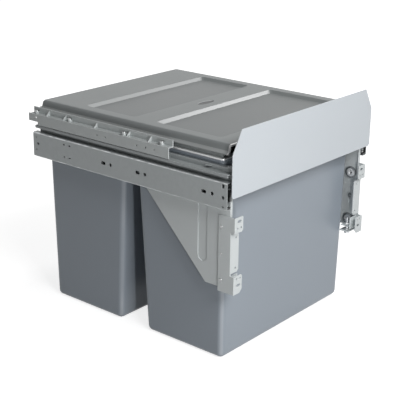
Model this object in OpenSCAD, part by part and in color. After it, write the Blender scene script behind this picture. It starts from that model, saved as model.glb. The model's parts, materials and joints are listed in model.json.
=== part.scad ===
// Pull-out bin frame for a kitchen cabinet: two bins hang in a steel frame that runs out
// on telescopic ball slides, under a lid that stays in the cabinet.
// Millimetres, +Z up. The cabinet door is at -Y and the left slide is at -X.
// The origin lies on the floor of the bins, under the middle of the whole unit.

/* [Unit] */
// Width across the outer faces of the two slides
unit_w = 414; // [394:1:474]
// Height of the slides' lower edge above the bins' feet
slide_z = 281; // [260:1:320]
// How far the back of the door lies in front of the slides
door_gap = 7.5; // [6:0.5:12]
// Play between pieces that move past each other
run_gap = 0.3; // [0.2:0.05:0.4]
// Play of a screw or rivet in its hole, across the diameter
hole_play = 0.4; // [0.2:0.1:0.6]

/* [Slides] */
// Length of a slide
slide_len = 450; // [430:5:500]
// Height of a slide
slide_h = 46; // [45:0.5:52]
// Depth of a slide, from the cabinet wall to the frame
slide_d = 12.7; // [12.5:0.1:14]
// Sheet thickness of the slide's rails
slide_t = 1.5; // [1.2:0.1:1.6]
// Bend radius on the outside of the outer rail
slide_bend = 3; // [2:0.5:4]
// Room for a fixing screw's head behind the ball cage
head_room = 2.1; // [1.6:0.1:2.3]
// Gap between a ball cage's web and the webs beside it
cage_gap = 0.4; // [0.3:0.05:0.5]
// Space between the middle and inner rails and the soft-close unit behind them
member_gap = 8.5; // [6.5:0.5:20]
// Travel of the frame on its slides
travel = 430; // [360:5:440]
// Diameter of a slide's ball
ball_d = 3.7; // [3.2:0.1:4]
// Play of a ball in its track, on each side
ball_play = 0.2; // [0.15:0.05:0.3]
// Balls in one row
ball_count = 7; // [4:1:7]
// Distance between the balls in a row
ball_pitch = 17; // [12:1:17]
// Thickness of a ball cage's web
cage_t = 0.7; // [0.5:0.1:0.8]
// Length of the plastic buffer at a slide's front end
buffer_len = 3.6; // [3:0.2:5]
// Length of the soft-close unit at a slide's rear end
damper_len = 88; // [80:1:92]

/* [Slide screw holes] */
// First screw hole, from the slide's front end
first_hole_y = 30; // [26:1:40]
// Hole pitch that the screw holes follow
hole_step = 32; // [30:1:34]
// Diameter of a screw hole
screw_hole_d = 6; // [4:0.1:6.6]
// Length of a screw slot
slot_len = 10.5; // [8:0.5:12]
// Distance from a screw hole to the slot behind it
slot_step = 17; // [15:0.5:20]

/* [Frame] */
// Sheet thickness of the frame
frame_t = 1.5; // [1.2:0.1:2]
// Height of the side rail's top above the slide
rail_rise = 13; // [11:0.5:18]
// How far the side rail's top reaches out over the slide
rail_over = 11.5; // [8:0.1:12]
// Gap between the side rail's lip and the slide below it
lip_gap = 8; // [4:0.5:10]
// Height of the ledge that carries the bins' rims above the side rail's top
ledge_rise = 7.5; // [6:0.5:10]
// Width of the ledge that carries the bins' rims
ledge_w = 9.1; // [8.5:0.1:14]
// Depth of a cross bar's turned-down edges
bar_lip = 12; // [8:1:16]
// Width of the bar between the two bins
mid_bar_w = 21.1; // [20:0.1:40]
// Reach of the front bar behind the slides' front end
front_bar_y = 22.5; // [20:0.1:27]
// Reach of the rear bar's ledge in front of the slides' rear end
rear_bar_y = 11.2; // [7:0.1:13]
// How far the rear bar's turned-down edge stops short of the bar's ends
rear_lip_inset = 22; // [10:1:40]
// Diameter of a rivet
rivet_d = 4; // [3:0.2:4.4]

/* [Front panel] */
// Width of the front panel
panel_w = 407; // [390:1:414]
// Height of the front panel
panel_h = 109; // [100:1:130]
// Height of the panel's lower edge above the slides' lower edge
panel_rise = 20; // [16:1:22]
// Width of the panel's sloped top corners
panel_cut_w = 22; // [10:1:40]
// Height of the panel's sloped top corners
panel_cut_h = 38; // [20:1:60]
// Size of the panel's small lower corner cuts
panel_nick = 3.5; // [2:0.5:6]
// Distance of a panel stud from the middle
stud_x = 150; // [120:1:165]
// Diameter of a panel stud
stud_d = 5; // [4:0.5:6]
// Length of a panel stud
stud_len = 10; // [8:0.5:14]

/* [Bins] */
// Draft of a bin's walls, in degrees
bin_draft = 0.8; // [0.4:0.1:1.4]
// Draft of the walls with which the two bins face each other, in degrees
gap_draft = 3.3; // [1:0.1:4]
// Wall thickness of a bin
bin_wall = 2.2; // [1.8:0.1:3]
// Radius of a bin's upright corners
bin_r = 10.5; // [9:0.5:20]
// Radius of the edge round a bin's foot
bin_edge = 5; // [4:0.5:8]
// Height of a bin's rim
rim_h = 8.5; // [6:0.5:14]
// How far a bin's rim stands out from its wall
rim_over = 5; // [4.5:0.1:6]
// Play between a bin and the frame that it hangs in
bin_gap = 0.6; // [0.4:0.1:1]

/* [Lid] */
// Height of the lid
lid_h = 23; // [20:0.5:26]
// Wall thickness of the lid
lid_t = 3; // [2:0.2:3.2]
// Inset of the lid's lip from the slides' outer faces
lid_inset = 17; // [16:0.5:20]
// Height of the lid's lip above its foot
lip_h = 6.5; // [5:0.5:8]
// How far the lid's front edge lies behind the slides' front end
lid_front = 15; // [14:1:24]
// Depth of the two sunk fields in the lid
field_depth = 4; // [3:0.5:6]
// Width of the sunk fields
field_w = 322; // [240:2:330]
// Corner radius of the sunk fields
field_r = 7; // [4:1:10]
// Start of the front field, from the lid's front edge
front_field_y = 35; // [25:1:45]
// Length of the front field
front_field_len = 142; // [100:1:145]
// Width of the raised band between the two fields
band_w = 48; // [40:1:60]
// Length of the rear field
rear_field_len = 120; // [80:1:130]
// Length of the shallow oval in the band
oval_len = 42; // [30:1:60]
// Width of the shallow oval in the band
oval_w = 17; // [12:1:24]

/* [Lid holder] */
// Sheet thickness of the lid's frame
holder_t = 2.4; // [2:0.1:3]
// Width of the lid's frame
holder_w = 14; // [12:0.5:18]
// Inset of the lid frame's edge from the slides' outer faces
holder_inset = 14; // [13.2:0.1:15]
// Wall thickness of a lid bracket
bracket_t = 2; // [1.6:0.1:2.2]
// Inset of a lid bracket's upright wall
bracket_wall_u = 10.5; // [9.5:0.1:11]
// Height of a lid bracket's upright wall
bracket_wall_h = 12.5; // [10:0.5:15]
// Height of the lid bracket's skirt
bracket_skirt_h = 19.4; // [14:0.1:20]
// Front end of a lid bracket
bracket_front = 121.5; // [110:0.5:128]
// How far a lid bracket's skirt ends in front of the slides' rear end
bracket_end = 13; // [10:0.5:20]
// Length of the ear at a lid bracket's rear end
ear_len = 23; // [20:0.5:28]
// Diameter of the hole in the ear
ear_hole_d = 4.4; // [3.6:0.1:5]
// Diameter of the holes along the skirt
skirt_hole_d = 3.2; // [2.6:0.1:4]
// Height of the boss under a lid bracket screw
boss_h = 4; // [2:0.5:5]
// Diameter of a lid bracket screw
holder_screw_d = 4; // [3:0.2:4.4]

/* [Door brackets] */
// Height of a side plate's lower edge above the bins' feet
plate_z = 141.5; // [136:0.5:150]
// Length of a side plate's lower edge
plate_foot_len = 50; // [46:1:56]
// Length of a side plate's upper edge
plate_head_len = 226; // [215:1:240]
// Sheet thickness of a door bracket
door_t = 2; // [1.5:0.1:2.4]
// Width of the bracket's tabs
tab_w = 22; // [20:0.5:24]
// Height of the upper tab
upper_tab_h = 26; // [24:0.5:30]
// Height of the lower tab
lower_tab_h = 31.5; // [29:0.5:34]
// Height of a door bracket
door_h = 132; // [128:0.5:136]
// Length of a door bracket's leg along the side plate
leg_len = 33; // [32:0.5:38]
// Vertical distance between the tabs' slots
tab_slot_step = 110; // [106:0.5:112]
// Length of a tab's slot
tab_slot_len = 10; // [8:0.5:11]
// Width of a tab's slot
tab_slot_w = 4.4; // [4:0.1:5]
// Diameter of a tab's small holes
tab_hole_d = 3.5; // [3:0.1:4]
// Distance between the two small holes of a tab
tab_hole_step = 9; // [8:0.5:10]
// Distance from a tab's slot to its small holes
tab_hole_rise = 11.5; // [10:0.5:12]
// Height adjustment of a door bracket, up and down
door_adjust = 4; // [2:0.5:4]
// Diameter of a clamp screw's round head
clamp_head_d = 21.5; // [16:0.5:22]
// Diameter of a clamp screw's shank
clamp_d = 6; // [5:0.2:6.4]
// Vertical distance between the two clamp screws
clamp_step = 92; // [84:1:96]
// Diameter of the height screw
height_screw_d = 5; // [4:0.2:6]

/* [Hidden] */
$fn = 48;
eps = 0.01;
arc_steps = 5;

// Colours
steel = [0.62, 0.64, 0.65];
zinc = [0.7, 0.71, 0.72];
painted = [0.56, 0.58, 0.58];
black = [0.08, 0.08, 0.09];
pale = [0.82, 0.84, 0.85];
tub_grey = [0.36, 0.39, 0.43];

// Heights, from the bins' feet upwards
slide_top = slide_z + slide_h;
slide_mid = slide_z + slide_h / 2;
rail_top = slide_top + rail_rise;
ledge_top = rail_top + ledge_rise;
bin_top = ledge_top + rim_h;
holder_z = bin_top + run_gap;
holder_top = holder_z + holder_t;
lid_z = holder_top + run_gap;
lid_top = lid_z + lid_h;
panel_z = slide_z + panel_rise;

// Depths into the unit from a slide's outer face
outer_cage_u = slide_t + head_room;
mid_u = outer_cage_u + cage_t + cage_gap;
inner_cage_u = mid_u + slide_t + cage_gap;
inner_u = inner_cage_u + cage_t + cage_gap;
outer_flange = slide_d - 1.7;
mid_flange = slide_d - 2.2;
rail_u = slide_d + frame_t;
plate_u = rail_u + frame_t;
ledge_u = rail_u + ledge_w;

// Positions along the unit, from the slides' front end
door_y = -door_gap;
panel_back = door_y + frame_t;
rail_front = 0;
rail_rear = slide_len - 5;
ledge_rear = slide_len + 5.5;
rear_ledge_y = slide_len - rear_bar_y;
opening_len = (rear_ledge_y - front_bar_y - mid_bar_w) / 2;
mid_bar_y = front_bar_y + opening_len;
bin_centres = [front_bar_y + opening_len / 2, rear_ledge_y - opening_len / 2];
lid_rear = slide_len + 5;
bracket_rear = slide_len - bracket_end;
bracket_len = bracket_rear - bracket_front;
unit_rear = bracket_rear + ear_len;
channel_rear = unit_rear - 3;
mid_y = (door_y + unit_rear) / 2;

// Balls and tracks
track = ball_d + 2 * ball_play;
mid_v = slide_t + track;
inner_v = mid_v + slide_t + track;
mid_h = slide_h - 2 * mid_v;
inner_h = slide_h - 2 * inner_v;
outer_ball_u = mid_u + slide_t + 2;
inner_ball_u = (inner_u + mid_flange) / 2;
cage_margin = 9;
cage_len = (ball_count - 1) * ball_pitch + 2 * cage_margin;
cage_y = travel / 4 + buffer_len + 1.5;
cage_skin = 0.8;
member_front = 4.5;
inner_front = 1;
damper_y = slide_len - damper_len - 4;
member_len = damper_y - member_gap - member_front;

// Slide screw places
hole_ys = [for (k = [0, 4.5, 7]) first_hole_y + k * hole_step];
access_d = 2 * screw_hole_d;

// Bin sizes, worked out from the opening that each bin hangs in
bin_top_w = unit_w - 2 * (ledge_u + bin_gap);
bin_top_len = opening_len - 2 * bin_gap;
bin_lean = ledge_top * tan(bin_draft);
bin_foot_w = bin_top_w - 2 * bin_lean;
rim_lean = rim_h * tan(bin_draft);
gap_lean = ledge_top * tan(gap_draft);
gap_rim_lean = rim_h * tan(gap_draft);
rim_t = 2;
foot_fn = 32;

// Door bracket places
door_u = rail_u - 0.2 - door_t;
door_z = plate_z - door_adjust - door_t - 0.5;
door_top = door_z + door_h;
leg_rear = door_y + leg_len;
tab_end_u = door_u + tab_w;
door_mid = door_z + door_h / 2;
set_back = 8;
clamp_y = leg_rear - 6;
clamp_head_h = 4;
guide_d = 4;
clamp_zs = [door_mid - clamp_step / 2, door_mid + clamp_step / 2];
slot_u = tab_end_u - 9.7;
low_slot_z = door_z + 15;
screw_u = plate_u + 12.3;
screw_y = 14;
nut_tab_z = plate_z + 4.5;
plate_front = 3.5;
plate_top = slide_top - 5;
plate_flange_u = tab_end_u + 2;

// Lid profile
lid_wall_in = 5.5;
lid_round = 3;

// Fixing places
rivet_ys = [for (k = [0.08, 0.45, 0.825]) plate_front + k * plate_head_len];
rear_rivet_ys = [for (k = [0.8, 0.96]) k * member_len];
flange_rivet_u = rail_u + 4.3;
bar_rivet_ys = [panel_back + 17, mid_bar_y + mid_bar_w / 2, rear_ledge_y + 9.5];
side_screw_ys = [for (k = [0.062, 0.331, 0.75]) bracket_front + k * bracket_len];
holder_screw_ys = concat(side_screw_ys, [channel_rear - 13]);
rib_ys = [for (k = [0.15, 0.303, 0.55, 0.795, 0.933]) bracket_front + k * bracket_len];
skirt_hole_ys = [for (k = [0.1, 0.16, 0.223, 0.455, 0.518]) bracket_front + k * bracket_len];
holder_screw_u = (bracket_t + bracket_wall_u) / 2;
stud_z = panel_z + 22;

// Soft-close unit
damper_h = 26;
damper_d = slide_d - run_gap - slide_t;
rod_u = slide_t + damper_d / 2;
rod_d = 5;

// Places a piece that is drawn from the slides' front end into the unit's own frame
module in_unit() {
  translate([0, -mid_y, 0]) children();
}

// Places a piece drawn from a slide's outer face: u runs inwards, from the left or the right
module on_side(right) {
  mirror([right ? 1 : 0, 0, 0]) translate([-unit_w / 2, 0, 0]) children();
}

// Both sides at once
module on_both_sides() {
  on_side(false) children();
  on_side(true) children();
}

// Extrudes a shape drawn in X and Z along Y
module along_y(from, to) {
  translate([0, to, 0]) rotate([90, 0, 0]) linear_extrude(to - from) children();
}

// Extrudes a shape drawn in Y and Z along X
module along_x(from, to) {
  translate([from, 0, 0]) rotate([90, 0, 90]) linear_extrude(to - from) children();
}

// A round bar along X
module bar_x(from, to, d) {
  translate([from, 0, 0]) rotate([0, 90, 0]) cylinder(h = to - from, d = d);
}

// A round bar along Y
module bar_y(from, to, d) {
  translate([0, to, 0]) rotate([90, 0, 0]) cylinder(h = to - from, d = d);
}

// A rectangle with round corners, centred
module round_rect(w, l, r) {
  square([w - 2 * r, l], center = true);
  square([w, l - 2 * r], center = true);
  for (x = [-1, 1]) for (y = [-1, 1])
    translate([x * (w / 2 - r), y * (l / 2 - r)]) circle(r);
}

// A slot with round ends, centred, lying along its first direction
module slot(len, w) {
  square([len - w, w], center = true);
  for (x = [-1, 1]) translate([x * (len - w) / 2, 0]) circle(d = w);
}

// A rectangle from the origin whose two left corners are round
module left_round(w, h, r) {
  translate([r, 0]) square([w - r, h]);
  translate([0, r]) square([r + eps, h - 2 * r]);
  translate([r, r]) circle(r);
  translate([r, h - r]) circle(r);
}

// A channel section, open on its right
module channel(w, h, t, r) {
  difference() {
    left_round(w, h, r);
    translate([t, t]) left_round(w, h - 2 * t, r - t);
  }
}

// Points along an arc
function arc(x, z, r, from, to) = [
  for (i = [0 : arc_steps]) let (a = from + i * (to - from) / arc_steps)
    [x + r * cos(a), z + r * sin(a)]
];

// A cross recess cut into a screw head along Z
module cross_cut(size, depth) {
  for (a = [0, 90]) rotate(a)
    translate([-size / 2, -size / 10, -eps]) cube([size, size / 5, depth + eps]);
}

// Slide: outer rail on the cabinet wall
module slide_holes() {
  for (y = hole_ys) {
    translate([y, slide_h / 2]) circle(d = screw_hole_d);
    translate([y + slot_step, slide_h / 2]) slot(slot_len, screw_hole_d);
  }
}

module outer_rail(right) {
  rear_fix_y = slide_len - damper_len + 7;
  front_y = 8;
  color(zinc) in_unit() on_side(right) {
    difference() {
      translate([0, 0, slide_z]) along_y(0, slide_len)
        channel(outer_flange, slide_h, slide_t, slide_bend);
      translate([0, 0, slide_z]) along_x(-eps, slide_t + eps) {
        slide_holes();
        for (v = [14, slide_h - 9.5]) {
          translate([rear_fix_y, v]) circle(d = 3.6);
          translate([rear_fix_y - 14, v]) slot(5, 2.4);
          translate([slide_len - 8, v]) circle(d = 3);
        }
        translate([slide_len - 12.5, slide_h / 2 + 2.5]) slot(7, 4);
        translate([front_y, slide_h / 2 - 2]) circle(d = screw_hole_d);
        translate([front_y, slide_bend + 2.5]) circle(d = 4);
        translate([front_y - 2.5, slide_h - 10]) square([5, 7]);
      }
    }
  }
}

// Slide: middle rail, with openings that reach the outer rail's screws
module middle_rail(right) {
  color(zinc) in_unit() on_side(right) {
    difference() {
      translate([mid_u, 0, slide_z + mid_v]) along_y(member_front, member_front + member_len)
        channel(mid_flange - mid_u, mid_h, slide_t, 2);
      translate([0, 0, slide_z]) along_x(mid_u - eps, mid_u + slide_t + eps)
        for (y = hole_ys) {
          translate([y, slide_h / 2]) circle(d = access_d);
          translate([y + slot_step, slide_h / 2]) circle(d = access_d);
        }
    }
  }
}

// Slide: inner rail, fixed to the frame
module inner_rail(right) {
  color(zinc) in_unit() on_side(right) {
    difference() {
      translate([slide_d, 0, slide_z + inner_v]) mirror([1, 0, 0])
        along_y(inner_front, inner_front + member_len)
          channel(slide_d - inner_u, inner_h, slide_t, 2);
      side_rivet_holes(slide_d - slide_t - eps, slide_d + eps);
    }
  }
}

// One row of balls
module ball_row(u, v) {
  for (i = [0 : ball_count - 1])
    translate([u, cage_y + cage_margin + i * ball_pitch, slide_z + v]) sphere(d = ball_d);
}

// A cage section: a thin web with a strip in each track
module cage_section(u, v, reach) {
  strip_h = track - 2 * cage_skin;
  translate([u, v + cage_skin]) square([cage_t, slide_h - 2 * (v + cage_skin)]);
  for (z = [v + cage_skin, slide_h - v - cage_skin - strip_h])
    translate([u, z]) square([reach, strip_h]);
}

// A ball cage: v is the height at which its track begins
module ball_cage(u, v, ball_u) {
  reach = ball_u + ball_d / 2 + cage_gap - u;
  difference() {
    translate([0, 0, slide_z]) along_y(cage_y, cage_y + cage_len) cage_section(u, v, reach);
    for (z = [v + track / 2, slide_h - v - track / 2])
      for (i = [0 : ball_count - 1])
        translate([ball_u, cage_y + cage_margin + i * ball_pitch, slide_z + z])
          sphere(d = ball_d + ball_play);
  }
}

module outer_cage(right) {
  color(steel) in_unit() on_side(right) {
    ball_cage(outer_cage_u, slide_t, outer_ball_u);
  }
}

module inner_cage(right) {
  color(steel) in_unit() on_side(right) {
    ball_cage(inner_cage_u, mid_v + slide_t, inner_ball_u);
  }
}

module outer_balls(right) {
  color(steel) in_unit() on_side(right) {
    for (v = [slide_t + track / 2, slide_h - slide_t - track / 2]) ball_row(outer_ball_u, v);
  }
}

module inner_balls(right) {
  v = mid_v + slide_t + track / 2;
  color(steel) in_unit() on_side(right) {
    for (z = [v, slide_h - v]) ball_row(inner_ball_u, z);
  }
}

// Slide: plastic buffer lining the front end of the outer rail
module front_buffer(right) {
  strip = track - 1;
  web = head_room / 2;
  y0 = 0.6;
  color(black) in_unit() on_side(right) {
    translate([slide_t, 0, slide_z + slide_t]) along_y(y0, y0 + buffer_len) difference() {
      left_round(outer_flange - slide_t - 0.5, slide_h - 2 * slide_t, slide_bend - slide_t);
      translate([web, strip]) square([slide_d, slide_h - 2 * slide_t - 2 * strip]);
    }
  }
}

// Slide: soft-close unit behind the middle rail, a housing with a sliding rod
module damper_housing(right) {
  z0 = slide_mid - damper_h / 2;
  color(black) in_unit() on_side(right) {
    difference() {
      translate([slide_t, damper_y, z0]) cube([damper_d, damper_len, damper_h]);
      translate([rod_u, 0, slide_mid])
        bar_y(damper_y - eps, damper_y + damper_len - 6, rod_d + hole_play);
      translate([slide_t + damper_d - 2, damper_y + 8, slide_mid + 6])
        cube([damper_d, damper_len - 16, 3]);
    }
  }
}

module damper_rod(right) {
  color(steel) in_unit() on_side(right) {
    translate([rod_u, 0, slide_mid]) {
      bar_y(damper_y - 3, damper_y + damper_len - 10, rod_d);
      bar_y(damper_y - 5, damper_y - 3 + eps, rod_d + 2);
    }
  }
}

// Slide: plug in the front end of each inner rail
module slide_end_caps() {
  inset = 0.6;
  len = 12;
  h = inner_h - 2 * slide_t - 2 * inset;
  z0 = slide_z + inner_v + slide_t + inset;
  color(black) in_unit() on_both_sides() difference() {
    translate([inner_u + inset, inner_front, z0])
      cube([slide_d - slide_t - inner_u - inset, len, h]);
    translate([inner_u, inner_front - eps, z0 + h / 2 - 2]) cube([2, len / 2, 4]);
  }
}

// Frame: holes for the rivets that join side plate, side rail and inner rail
module side_rivet_holes(from, to) {
  for (y = concat(rivet_ys, rear_rivet_ys))
    translate([0, y, slide_mid]) bar_x(from, to, rivet_d + hole_play);
}

// Frame: holes for the rivets that join a cross bar to the side rails
module bar_rivet_holes() {
  for (y = bar_rivet_ys)
    translate([flange_rivet_u, y, ledge_top - 3 * frame_t])
      cylinder(h = 4 * frame_t, d = rivet_d + hole_play);
}

// Frame: side rail with a flange over the slide, a raised ledge for the bins' rims and a small louvre
module side_rail(right) {
  out_u = slide_d - rail_over;
  web_z = slide_z + inner_v + 2;
  louvre_y = rail_front + 42;
  louvre_len = 11;
  louvre_z = rail_top + 1.5;
  louvre_h = 3.6;
  louvre_out = 3;
  louvre_t = 1.1;
  color(painted) in_unit() on_side(right) {
    difference() {
      union() {
        along_y(rail_front, rail_rear) {
          translate([slide_d, web_z]) square([frame_t, ledge_top - web_z]);
          translate([out_u, rail_top - frame_t]) square([rail_over + eps, frame_t]);
          translate([out_u, slide_top + lip_gap]) square([frame_t, rail_rise - lip_gap]);
        }
        along_y(panel_back, ledge_rear)
          translate([rail_u - eps, ledge_top - frame_t]) square([ledge_w + eps, frame_t]);
        translate([slide_d - louvre_out, louvre_y, louvre_z]) difference() {
          cube([louvre_out + eps, louvre_len, louvre_h]);
          translate([-eps, -eps, -eps])
            cube([louvre_out + 3 * eps, louvre_len - louvre_t, louvre_h - louvre_t]);
        }
      }
      translate([slide_d - eps, louvre_y, louvre_z])
        cube([frame_t + 2 * eps, louvre_len - louvre_t, louvre_h - louvre_t]);
      side_rivet_holes(slide_d - eps, rail_u + eps);
      bar_rivet_holes();
    }
  }
}

// Frame: a cross bar between the side rails, with turned-down edges at the given places
module cross_bar(from, to, lip_ys, lip_inset = 0) {
  bar_top = ledge_top - frame_t;
  half = unit_w / 2 - rail_u;
  difference() {
    union() {
      along_x(-half, half) translate([from, bar_top - frame_t]) square([to - from, frame_t]);
      along_x(-half + lip_inset, half - lip_inset)
        for (y = lip_ys) translate([y, bar_top - bar_lip]) square([frame_t, bar_lip]);
    }
    on_both_sides() bar_rivet_holes();
  }
}

module front_crossbar() {
  bar_top = ledge_top - frame_t;
  web_bottom = panel_z + 4;
  half = unit_w / 2 - rail_u;
  color(painted) in_unit() {
    difference() {
      union() {
        cross_bar(panel_back, front_bar_y, [front_bar_y - frame_t]);
        along_y(panel_back, panel_back + frame_t)
          translate([-half, web_bottom]) square([2 * half, bar_top - web_bottom]);
      }
      for (x = [-stud_x, stud_x])
        translate([x, 0, stud_z])
          bar_y(panel_back - eps, panel_back + frame_t + eps, stud_d + hole_play);
    }
  }
}

module middle_crossbar() {
  color(painted) in_unit() {
    cross_bar(mid_bar_y, mid_bar_y + mid_bar_w, [mid_bar_y, mid_bar_y + mid_bar_w - frame_t]);
  }
}

module rear_crossbar() {
  color(painted) in_unit() {
    cross_bar(rear_ledge_y, ledge_rear, [ledge_rear - frame_t], lip_inset = rear_lip_inset);
  }
}

// Frame: rivets, with a flat head on the inside and a closed end on the other
module side_rivet(head_u) {
  bar_x(slide_d - slide_t - 1.5, head_u + eps, rivet_d);
  bar_x(slide_d - slide_t - 1.5, slide_d - slide_t, rivet_d + 2);
  bar_x(head_u, head_u + 1.3, rivet_d + 4);
}

module frame_rivets() {
  color(steel) in_unit() {
    on_both_sides() {
      for (y = rivet_ys) translate([0, y, slide_mid]) side_rivet(plate_u);
      for (y = rear_rivet_ys) translate([0, y, slide_mid]) side_rivet(rail_u);
      for (y = bar_rivet_ys) translate([flange_rivet_u, y, ledge_top - 2 * frame_t - 1]) {
        cylinder(h = 1, d = rivet_d + 1.5);
        cylinder(h = 2 * frame_t + 1.5, d = rivet_d);
        translate([0, 0, 2 * frame_t + 1]) cylinder(h = 1, d = rivet_d + 2);
      }
    }
  }
}

// Frame: side plate under the slide, which carries a door bracket
module clamp_slots(d) {
  for (z = clamp_zs) translate([clamp_y, z]) rotate(90) slot(d + 2 * door_adjust + 1, d);
}

module side_plate(right) {
  bead_y = plate_front + 57;
  bead_w = 22.5;
  bead_z = plate_z + 34;
  bead_top = slide_z + 3;
  bead_len = bead_top - bead_z;
  bead_in = 1.5;
  narrow_flange = 5.5;
  wide_flange_h = 23;
  tab_len = 20;
  nut_tab_u = plate_u + clamp_head_h + 1.2;
  color(painted) in_unit() on_side(right) {
    difference() {
      union() {
        along_x(rail_u, plate_u) polygon([
          [plate_front, plate_z], [plate_front + plate_foot_len, plate_z],
          [plate_front + plate_head_len, plate_top], [plate_front, plate_top]
        ]);
        along_x(plate_u - eps, plate_u + bead_in)
          translate([bead_y, bead_z + bead_len / 2]) rotate(90) slot(bead_len, bead_w);
        translate([rail_u, plate_front, plate_z])
          cube([narrow_flange, frame_t, slide_z + 19 - plate_z]);
        translate([rail_u, plate_front, plate_z])
          cube([plate_flange_u - rail_u, frame_t, wide_flange_h]);
        translate([nut_tab_u, plate_front, nut_tab_z])
          cube([plate_flange_u - nut_tab_u, tab_len, frame_t]);
      }
      along_x(rail_u - eps, rail_u + bead_in)
        translate([bead_y, bead_z + bead_len / 2]) rotate(90)
          slot(bead_len - 2 * frame_t, bead_w - 2 * frame_t);
      along_x(rail_u - eps, plate_u + eps) {
        clamp_slots(clamp_d + hole_play);
        translate([clamp_y, door_mid]) rotate(90)
          slot(2 * door_adjust + guide_d + 1, guide_d + hole_play);
      }
      translate([screw_u, screw_y, nut_tab_z - eps])
        cylinder(h = frame_t + 2 * eps, d = height_screw_d + 2 * hole_play);
      side_rivet_holes(rail_u - eps, plate_u + eps);
    }
  }
}

// Front panel: a sheet with sloped top corners and two welded studs behind it
module front_panel() {
  half = panel_w / 2;
  top = panel_z + panel_h;
  color(pale) in_unit() {
    along_y(door_y, panel_back) polygon([
      [-half + panel_nick, panel_z], [half - panel_nick, panel_z], [half, panel_z + panel_nick],
      [half, top - panel_cut_h], [half - panel_cut_w, top], [-half + panel_cut_w, top],
      [-half, top - panel_cut_h], [-half, panel_z + panel_nick]
    ]);
    for (x = [-stud_x, stud_x])
      translate([x, 0, stud_z]) bar_y(panel_back - eps, panel_back + stud_len, stud_d);
  }
}

module panel_nuts() {
  nut_h = 4;
  nut_y = panel_back + frame_t;
  color(steel) in_unit() {
    for (x = [-stud_x, stud_x]) translate([x, 0, stud_z]) difference() {
      union() {
        translate([0, nut_y + nut_h, 0]) rotate([90, 0, 0])
          cylinder(h = nut_h - 1, d = stud_d * 1.8, $fn = 6);
        bar_y(nut_y, nut_y + 1, stud_d * 2.2);
      }
      bar_y(nut_y - eps, nut_y + nut_h + eps, stud_d + 0.2);
    }
  }
}

// Bins: a drafted tub with round corners, hung by a skirted rim. The wall at +Y faces the other bin
module foot_puck(r, edge) {
  rotate_extrude($fn = foot_fn) polygon(concat([[0, edge], [0, 0]], arc(r - edge, edge, edge, -90, 0)));
}

module tub(inset) {
  x0 = bin_foot_w / 2 - bin_r;
  foot_ys = [-bin_top_len / 2 + bin_lean + bin_r, bin_top_len / 2 - gap_lean - bin_r];
  lean = bin_lean + rim_lean;
  top_ys = [foot_ys[0] - lean, foot_ys[1] + gap_lean + gap_rim_lean];
  lift = inset > 0 ? 1 : 0;
  hull() {
    for (sx = [-1, 1]) for (i = [0, 1]) {
      translate([sx * x0, foot_ys[i], inset]) foot_puck(bin_r - inset, bin_edge - inset);
      translate([sx * (x0 + lean), top_ys[i], bin_top - 1])
        cylinder(h = 1 + lift, r = bin_r - inset, $fn = foot_fn);
    }
  }
}

module rim_outline(grow) {
  round_rect(bin_top_w + 2 * grow, bin_top_len + 2 * grow, bin_r + grow);
}

module bin(centre_y, turned) {
  color(tub_grey) in_unit() translate([0, centre_y, 0]) rotate(turned ? 180 : 0) difference() {
    union() {
      tub(0);
      translate([0, 0, ledge_top]) linear_extrude(rim_h) difference() {
        rim_outline(rim_over);
        rim_outline(rim_over - rim_t);
      }
      translate([0, 0, bin_top - rim_t]) linear_extrude(rim_t) rim_outline(rim_over);
    }
    tub(bin_wall);
  }
}

// Lid: a thin shell that flares out to a lip, open at the front, with two sunk fields on top
function lid_outside(half, h) = concat(
  [[half, lip_h], [half, lip_h + 1.2], [half - 3.7, lip_h + 5], [half - 4.3, lip_h + 9]],
  arc(half - lid_wall_in - lid_round, h - lid_round, lid_round, 0, 90)
);

function lid_inside(half, h, t) = [
  [half - t, lip_h - 1], [half - t, lip_h + 1], [half - 3.7 - t, lip_h + 4.6],
  [half - lid_wall_in - t, h - t]
];

function lid_foot(half, in) = [[half - in, 0], [half - in, lip_h + 4.2]];

function mirrored(pts) = [for (i = [len(pts) - 1 : -1 : 0]) [-pts[i][0], pts[i][1]]];

// A body with one outline along both sides and along the rear, cut square at the front
module lid_body(pts, from, to) {
  half = unit_w / 2 - lid_inset;
  front = half - (to - from);
  rise = pts[len(pts) - 1][1];
  intersection() {
    along_y(from - 1, to + 1) polygon(concat(pts, mirrored(pts)));
    along_x(-half - 1, half + 1) translate([to - half, 0])
      polygon(concat(pts, [[front, rise], [front, pts[0][1]]]));
  }
}

module field_rect(inset, len) {
  round_rect(field_w - 2 * inset, len - 2 * inset, field_r, $fn = 32);
}

module field_cut(len) {
  slope = 4;
  hull() {
    translate([0, 0, -field_depth]) linear_extrude(0.1) field_rect(slope, len);
    linear_extrude(0.1) field_rect(0, len);
  }
}

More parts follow.
